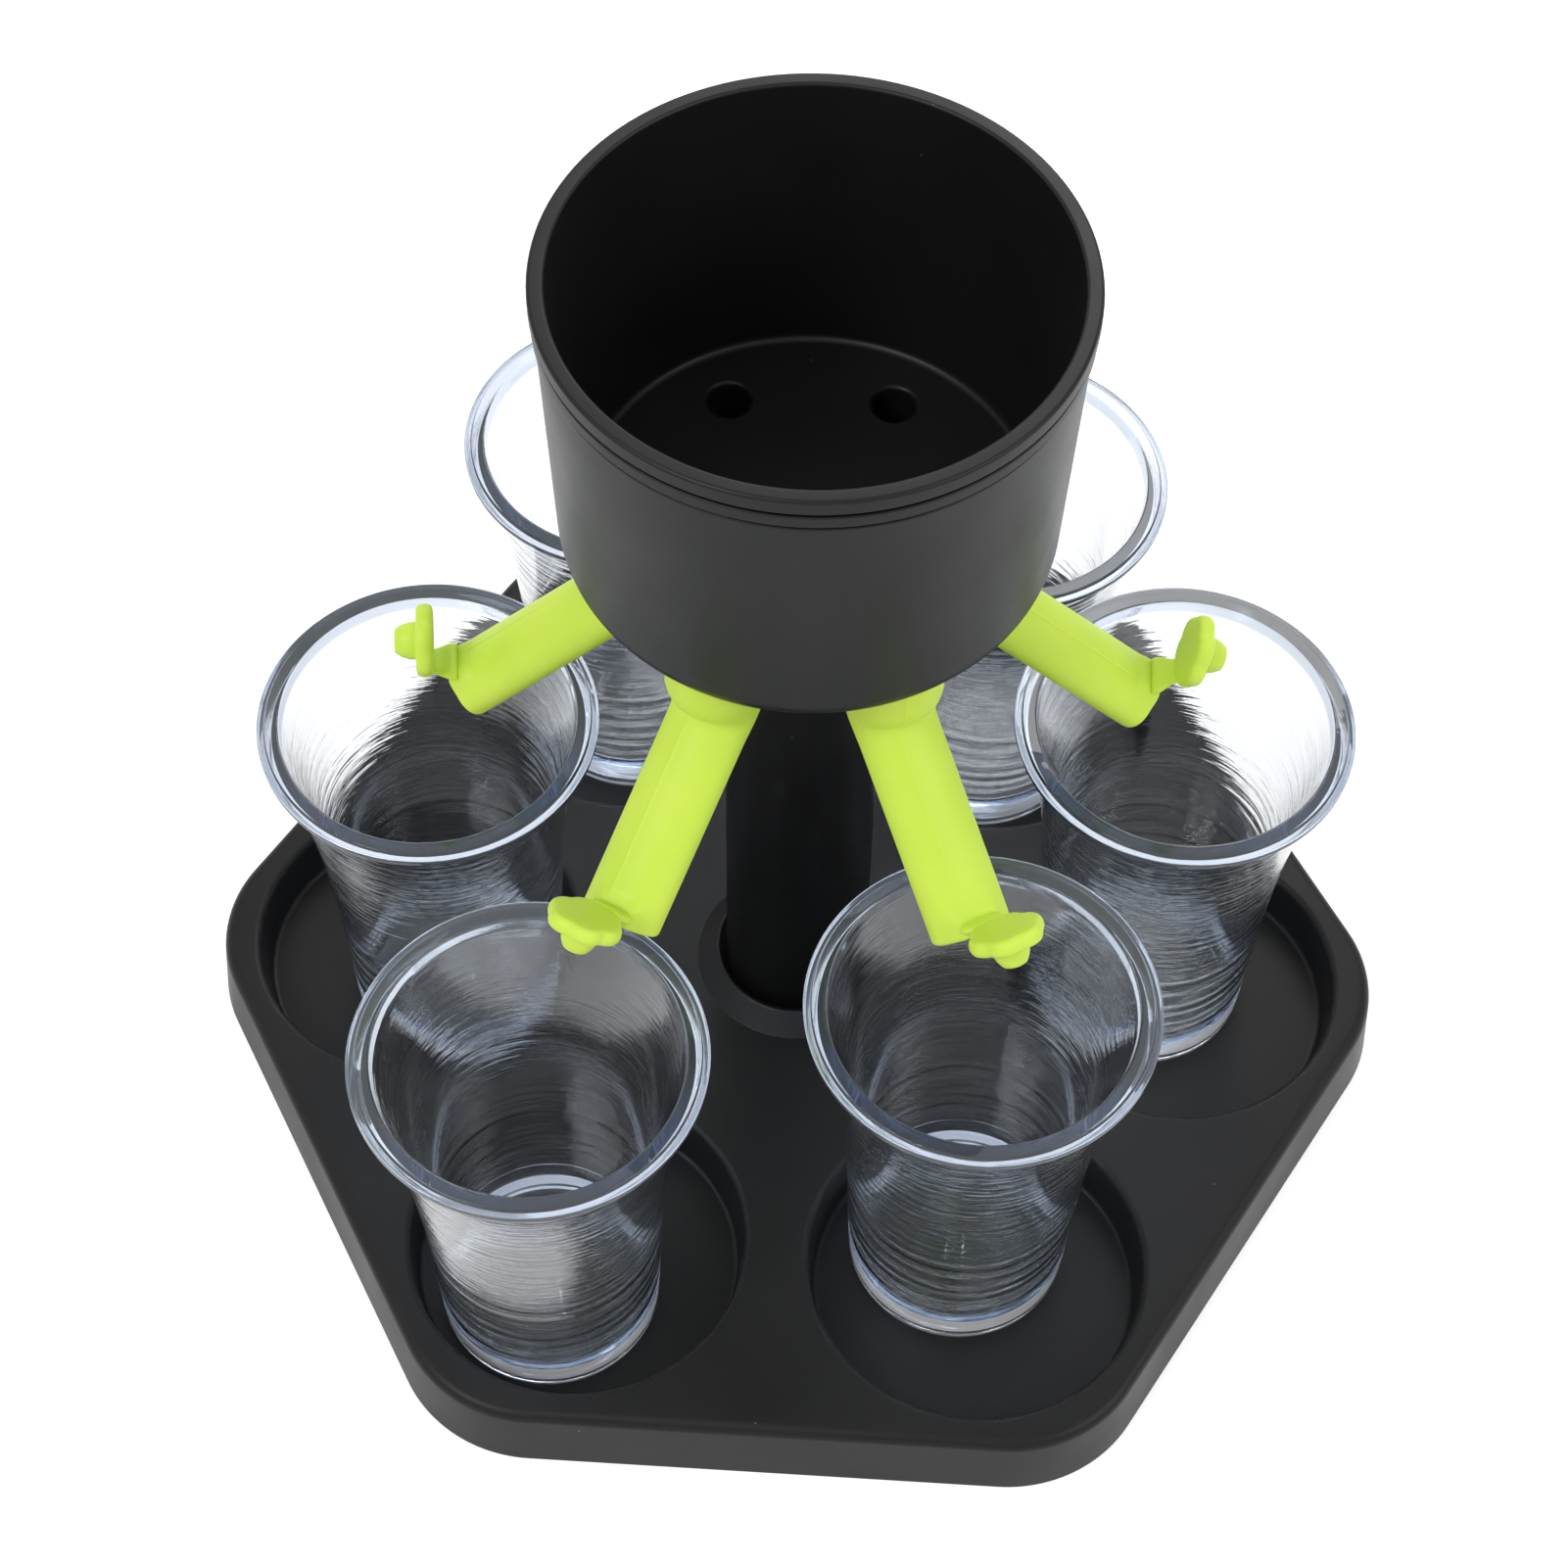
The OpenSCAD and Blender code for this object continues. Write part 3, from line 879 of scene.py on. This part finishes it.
def cup_shell():
    shell = Shell()
    low, high = CUP_WALL_FROM, CUP_H - CUP_LIP_H
    outer = []
    for k in range(CUP_ROWS + 1):
        z = low + (high - low) * k / CUP_ROWS
        lines = sum(math.exp(-(((z - line) / CUP_LINE_W) ** 2)) for line in CUP_BASE_LINES)
        outer.append((cup_wall_r(z) - CUP_LINE_DEPTH * lines, z))
    fillet_z = CUP_BASE_H + CUP_FLOOR_FILLET
    inner = []
    for k in range(CUP_INNER_ROWS + 1):
        z = high - (high - fillet_z) * k / CUP_INNER_ROWS
        inner.append((cup_wall_r(z) - CUP_WALL, z))
    foot = rounded(
        [
            (0, CUP_RECESS - CUP_GATE_H, 0),
            (CUP_GATE_R, CUP_RECESS - CUP_GATE_H, 0.2),
            (CUP_GATE_R + CUP_GATE_SLOPE, CUP_RECESS, 0.2),
            (CUP_BASE_R - CUP_RECESS_IN, CUP_RECESS, 0.3),
            (CUP_BASE_R - CUP_FOOT_IN, 0, 0.3),
            (CUP_BASE_R - CUP_FOOT_EDGE, 0, 0.6),
            (outer[0][0], low, 0),
        ],
        3,
    )
    rim = rounded(
        [
            (*outer[-1], 0),
            (CUP_RIM_R - CUP_ROLL_IN, CUP_H - CUP_ROLL_FROM, 0.4),
            (CUP_RIM_R, CUP_H - CUP_ROLL_TO, 0.25),
            (CUP_RIM_R, CUP_H - CUP_RIM_STEP, 0.3),
            (CUP_RIM_R - CUP_STEP_IN, CUP_H - CUP_RIM_STEP, 0.1),
            (CUP_RIM_R - CUP_STEP_TOP_IN, CUP_H, 0.15),
            (CUP_RIM_R - CUP_LIP_W, CUP_H, CUP_RIM_ROUND),
            (*inner[0], 0),
        ]
    )
    corner_r = cup_wall_r(CUP_BASE_H) - CUP_WALL
    floor_r = corner_r - CUP_FLOOR_IN
    floor = rounded([(*inner[-1], 0), (corner_r, CUP_BASE_H, CUP_FLOOR_FILLET), (floor_r, CUP_BASE_H, 0)])
    for k in range(1, CUP_FLOOR_ROWS + 1):
        t = k / CUP_FLOOR_ROWS
        wave = math.sin(2 * math.pi * CUP_RIPPLE_RINGS * t) * (1 - t)
        floor.append((floor_r * (1 - t), CUP_BASE_H + CUP_RIPPLE * wave))
    lathe(shell, foot[:-1] + outer + rim[1:-1] + inner + floor[1:])
    return shell


# --- Assembly ---


def build_object():
    tray_black = black_plastic("tray_plastic", TRAY_BLACK, gloss=0.42, level=0.18)
    post_black = black_plastic("post_plastic", POST_BLACK, gloss=0.35, level=0.14)
    bowl_black = black_plastic("bowl_plastic", BOWL_BLACK, gloss=0.4, level=0.2)
    lime = lime_silicone()
    clear = clear_plastic()
    piece("tray_body", tray_shell(), tray_black, "tray", "tray")
    piece("centre_post", post_shell(), post_black, "post", "post")
    piece("pouring_bowl", bowl_shell(), bowl_black, "head", "bowl")
    for i in range(COUNT):
        n = i + 1
        piece(f"spout_tube_{n}", spout_shell(), lime, "head", f"spout_{n}", spout_frame(i))
        strap, plug, cup = f"strap_{n}", f"plug_{n}", f"cup_{n}"
        at = strap_frame(i)
        piece(f"plug_strap_{n}", strap_shell(), lime, strap, strap, at, STRAP_SHARP)
        at = plug_frame(i) @ shift(PLUG_REACH, 0, 0)
        piece(f"flower_plug_{n}", plug_shell(), lime, plug, plug, at, PLUG_SHARP)
        at = cup_frame(i)
        piece(f"shot_cup_{n}", cup_shell(), clear, cup, cup, at, CUP_SHARP)


# --- Camera, floor and light ---

# The camera as fitted to the photo: angles in degrees, lengths and the lens in millimetres
CAMERA_ELEVATION = 55.786
CAMERA_AZIMUTH = 2.385
CAMERA_ROLL = 1.239
CAMERA_DISTANCE = 499.39
AIM_HEIGHT = 60.07
AIM_X = -2.49
AIM_Y = 0.14
LENS = 77.77

# Floor and lamps, in metres
FLOOR_REACH = 4
FLOOR_Z = -0.0002
LAMP_AIM = 0, 0, 0.08


def place_camera():
    elevation, azimuth = math.radians(CAMERA_ELEVATION), math.radians(CAMERA_AZIMUTH)
    level = Vector((math.sin(azimuth), -math.cos(azimuth), 0))
    back = level * math.cos(elevation) + Vector((0, 0, math.sin(elevation)))
    right = Vector((math.cos(azimuth), math.sin(azimuth), 0))
    turned = Matrix.Rotation(math.radians(CAMERA_ROLL), 3, back)
    x = turned @ right
    y = back.cross(x)
    spot = Vector((AIM_X, AIM_Y, AIM_HEIGHT)) + back * CAMERA_DISTANCE
    data = bpy.data.cameras.new("camera")
    data.lens = LENS
    data.clip_start = 0.01
    made = bpy.data.objects.new("camera", data)
    bpy.context.scene.collection.objects.link(made)
    made.matrix_world = Matrix.Translation(spot * MM) @ Matrix((x, y, back)).transposed().to_4x4()
    bpy.context.scene.camera = made


def seen_white(tree, rays):
    """1 for the rays that see the background: from the camera, off gloss and through glass."""
    out = rays.outputs["Is Camera Ray"]
    for name in ("Is Glossy Ray", "Is Transmission Ray"):
        out = combine(tree, "MAXIMUM", out, rays.outputs[name])
    return out


def light_world():
    world = bpy.data.worlds.new("studio")
    bpy.context.scene.world = world
    world.use_nodes = True
    tree = world.node_tree
    tree.nodes.clear()
    seen = seen_white(tree, add(tree, "ShaderNodeLightPath"))
    soft = add(tree, "ShaderNodeBackground", {"Color": WHITE, "Strength": 0.55})
    white = add(tree, "ShaderNodeBackground", {"Color": WHITE, "Strength": 1})
    both = add(tree, "ShaderNodeMixShader", {0: seen, 1: soft.outputs[0], 2: white.outputs[0]})
    add(tree, "ShaderNodeOutputWorld", {"Surface": both.outputs[0]})


def lamp(name, spot, size, power):
    data = bpy.data.lights.new(name, "AREA")
    data.shape = "DISK"
    data.size = size
    data.energy = power
    made = bpy.data.objects.new(name, data)
    bpy.context.scene.collection.objects.link(made)
    aim = Vector(LAMP_AIM) - Vector(spot)
    made.matrix_world = Matrix.Translation(spot) @ aim.to_track_quat("-Z", "Y").to_matrix().to_4x4()


def lay_floor():
    mesh = bpy.data.meshes.new("floor")
    corners = [(x * FLOOR_REACH, y * FLOOR_REACH, 0) for x, y in ((-1, -1), (1, -1), (1, 1), (-1, 1))]
    mesh.from_pydata(corners, [], [(0, 1, 2, 3)])
    made = bpy.data.objects.new("floor", mesh)
    bpy.context.scene.collection.objects.link(made)
    made.location.z = FLOOR_Z
    material, tree = material_tree("pale_floor")
    seen = seen_white(tree, add(tree, "ShaderNodeLightPath"))
    paint = add(tree, "ShaderNodeBsdfDiffuse", {"Color": FLOOR_GREY})
    glow = add(tree, "ShaderNodeEmission", {"Color": WHITE, "Strength": 0.5})
    lit = add(tree, "ShaderNodeAddShader", {0: paint.outputs[0], 1: glow.outputs[0]})
    both = add(tree, "ShaderNodeMixShader", {0: seen, 1: paint.outputs[0], 2: lit.outputs[0]})
    show(tree, both.outputs[0])
    mesh.materials.append(material)


bpy.context.scene.view_settings.view_transform = "Standard"
place_camera()
light_world()
lamp("key", (-0.5, -0.5, 0.9), 0.5, 5)
lamp("fill", (0.7, -0.3, 0.7), 0.6, 3)
lamp("back", (0.1, 0.8, 0.8), 0.5, 3)
lay_floor()
build_object()
